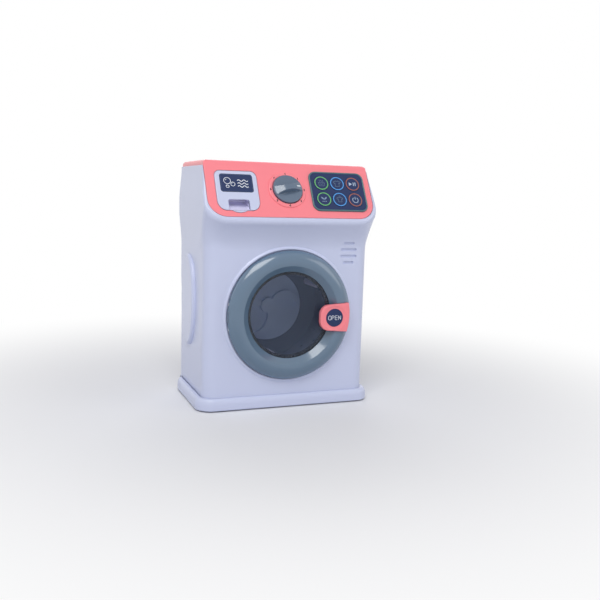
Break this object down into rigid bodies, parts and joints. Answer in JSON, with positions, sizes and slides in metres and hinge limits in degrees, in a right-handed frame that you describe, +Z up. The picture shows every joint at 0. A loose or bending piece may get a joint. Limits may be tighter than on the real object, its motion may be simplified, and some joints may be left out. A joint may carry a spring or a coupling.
{
  "type": "toy washing machine",
  "caption": "Toy front-loading washing machine with a hinged round door, a turning drum, a sloping control panel, a dial, sprung keys and a small drawer.",
  "frame": {"origin": "on the floor under the middle of the machine's overall box", "axes": "+Z up, -Y out of the front with the door, +X to the viewer's right when facing the front"},
  "size_m": [0.176, 0.1124, 0.232],
  "materials": {
    "white_shell": "smooth satin moulding",
    "coral": "smooth satin moulding",
    "slate": "smooth satin moulding",
    "smoked_clear": "clear smoked plastic",
    "teal": "satin",
    "navy": "satin printed plate",
    "key_dark": "satin",
    "lilac_plastic": "satin",
    "drum_grey": "satin metal-look plastic",
    "black_plastic": "satin",
    "foot_rubber": "matt",
    "belt_rubber": "matt",
    "steel": "plain",
    "bush_brass": "plain",
    "board_green": "circuit board",
    "cell_wrap": "plain wrap",
    "white_mark": "printed mark"
  },
  "bodies": {
    "root": {"cabinet_shell": "white_shell", "base_plinth": "white_shell", "foot_pads": "foot_rubber", "rear_cover": "white_shell", "control_fascia": "coral", "keypad_frame": "teal", "keypad_plate": "navy", "circuit_board": "board_green", "key_switches": "black_plastic", "control_chip": "black_plastic", "dial_encoder": "black_plastic", "speaker": "black_plastic", "mouth_ring": "teal", "tub_shell": "lilac_plastic", "bearing_bush": "bush_brass", "motor_can": "steel", "motor_bracket": "steel", "drive_belt": "belt_rubber", "battery_box": "black_plastic", "battery_cells": "cell_wrap", "battery_contacts": "steel", "rear_screws": "steel", "base_screws": "steel", "tub_screws": "steel", "board_screws": "steel", "drawer_guide": "slate", "hinge_bracket": "slate", "hinge_pin": "steel", "latch_keeper": "steel"},
    "door": {"door_ring": "slate", "door_window": "smoked_clear", "door_liner": "black_plastic", "door_screws": "steel", "latch_springs": "steel"},
    "latch": {"latch_tab": "coral", "latch_badge": "navy", "latch_hook": "coral"},
    "drawer": {"drawer_front": "white_shell", "drawer_tray": "slate", "drawer_label": "navy"},
    "dial": {"dial_knob": "slate", "dial_pointer": "white_mark", "dial_spindle": "steel"},
    "drum": {"drum_shell": "drum_grey", "drum_lifters": "lilac_plastic", "drum_swirl": "lilac_plastic", "drum_shaft": "steel", "drum_pulley": "black_plastic"},
    "motor_rotor": {"motor_shaft": "steel", "motor_pulley": "black_plastic"},
    "battery_door": {"battery_cover": "white_shell", "battery_screw": "steel"},
    "key_1_cap": {"key_1": "key_dark"},
    "key_2_cap": {"key_2": "key_dark"},
    "key_3_cap": {"key_3": "key_dark"},
    "key_4_cap": {"key_4": "key_dark"},
    "key_5_cap": {"key_5": "key_dark"},
    "key_6_cap": {"key_6": "key_dark"}
  },
  "joints": [
    {"name": "door_swing", "type": "hinge", "parent": "root", "child": "door", "pos_m": [-0.0596, -0.04535, 0.0895], "axis": [0, 0, -1], "range_deg": [0, 100]},
    {"name": "latch_press", "type": "slide", "parent": "door", "child": "latch", "axis": [0, 1, 0], "range_m": [0, 0.0015], "stiffness_N_per_m": 500},
    {"name": "drawer_slide", "type": "slide", "parent": "root", "child": "drawer", "axis": [0, -1, 0], "range_m": [0, 0.042]},
    {"name": "dial_turn", "type": "hinge", "parent": "root", "child": "dial", "pos_m": [-0.0045, -0.04109, 0.20662], "axis": [0, -0.8721, 0.4894], "continuous": true},
    {"name": "drum_spin", "type": "hinge", "parent": "root", "child": "drum", "pos_m": [0, 0, 0.0895], "axis": [0, 1, 0], "continuous": true},
    {"name": "motor_spin", "type": "hinge", "parent": "root", "child": "motor_rotor", "pos_m": [0.048, 0, 0.0302], "axis": [0, 1, 0], "continuous": true},
    {"name": "battery_cover_tilt", "type": "hinge", "parent": "root", "child": "battery_door", "pos_m": [-0.041, 0.05305, 0.0144], "axis": [-1, 0, 0], "range_deg": [0, 90]},
    {"name": "key_1_press", "type": "slide", "parent": "root", "child": "key_1_cap", "axis": [0, 0.8721, -0.4894], "range_m": [0, 0.0008], "stiffness_N_per_m": 400},
    {"name": "key_2_press", "type": "slide", "parent": "root", "child": "key_2_cap", "axis": [0, 0.8721, -0.4894], "range_m": [0, 0.0008], "stiffness_N_per_m": 400},
    {"name": "key_3_press", "type": "slide", "parent": "root", "child": "key_3_cap", "axis": [0, 0.8721, -0.4894], "range_m": [0, 0.0008], "stiffness_N_per_m": 400},
    {"name": "key_4_press", "type": "slide", "parent": "root", "child": "key_4_cap", "axis": [0, 0.8721, -0.4894], "range_m": [0, 0.0008], "stiffness_N_per_m": 400},
    {"name": "key_5_press", "type": "slide", "parent": "root", "child": "key_5_cap", "axis": [0, 0.8721, -0.4894], "range_m": [0, 0.0008], "stiffness_N_per_m": 400},
    {"name": "key_6_press", "type": "slide", "parent": "root", "child": "key_6_cap", "axis": [0, 0.8721, -0.4894], "range_m": [0, 0.0008], "stiffness_N_per_m": 400}
  ],
  "couplings": [
    {"joint": "motor_spin", "follows": "drum_spin", "ratio": 4.8}
  ]
}
